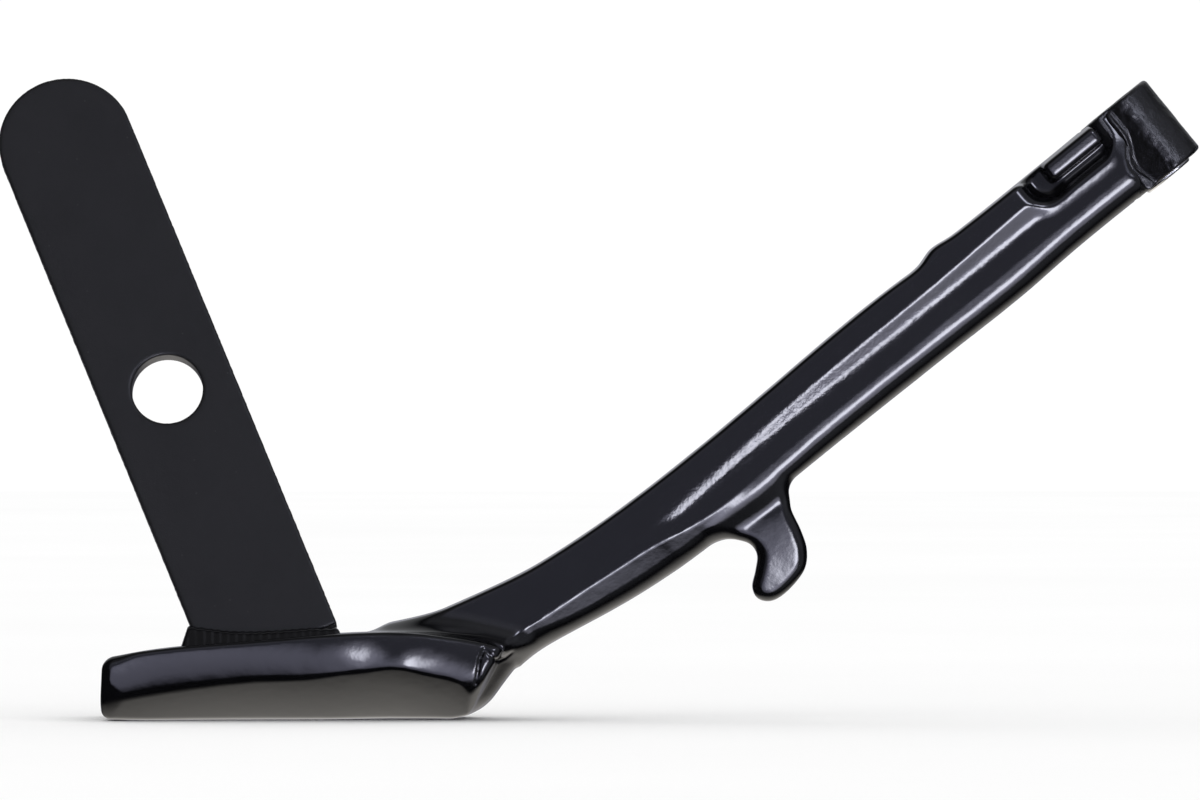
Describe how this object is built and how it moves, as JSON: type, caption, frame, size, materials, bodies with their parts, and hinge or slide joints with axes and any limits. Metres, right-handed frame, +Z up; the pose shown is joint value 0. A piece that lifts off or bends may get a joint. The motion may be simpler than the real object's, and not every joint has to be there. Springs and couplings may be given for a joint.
{
  "type": "motorcycle side stand leg",
  "caption": "Forged motorcycle kickstand leg with pivot barrel and steel sleeve, stop lug, spring hook, rocker foot and a welded boot tab with a hole.",
  "frame": {"origin": "middle of the pivot bore", "axes": "+Z up with the sole flat on the ground, -X towards the foot's end, -Y the side with the stop lug and boot tab, which the leg folds towards"},
  "size_m": [0.3388, 0.0568, 0.1813],
  "materials": {
    "gloss_black": "gloss powder coat over forging and weld beads",
    "cast_black": "satin powder coat over rough scale and weld",
    "satin_black": "satin powder coat over flat bar",
    "sleeve_steel": "turned and zinc plated"
  },
  "bodies": {
    "sleeve": {"pivot_sleeve": "sleeve_steel"},
    "leg": {"arm_forging": "gloss_black", "pivot_barrel": "cast_black", "barrel_weld": "cast_black", "foot_pad": "gloss_black", "foot_weld": "gloss_black", "extension_tab": "satin_black", "tab_weld_front": "gloss_black", "tab_weld_rear": "gloss_black"}
  },
  "joints": [
    {"name": "leg_swing", "type": "hinge", "parent": "sleeve", "child": "leg", "pos_m": [0, 0, 0], "axis": [-0.632, 0, 0.7749], "range_deg": [0, 95]}
  ]
}
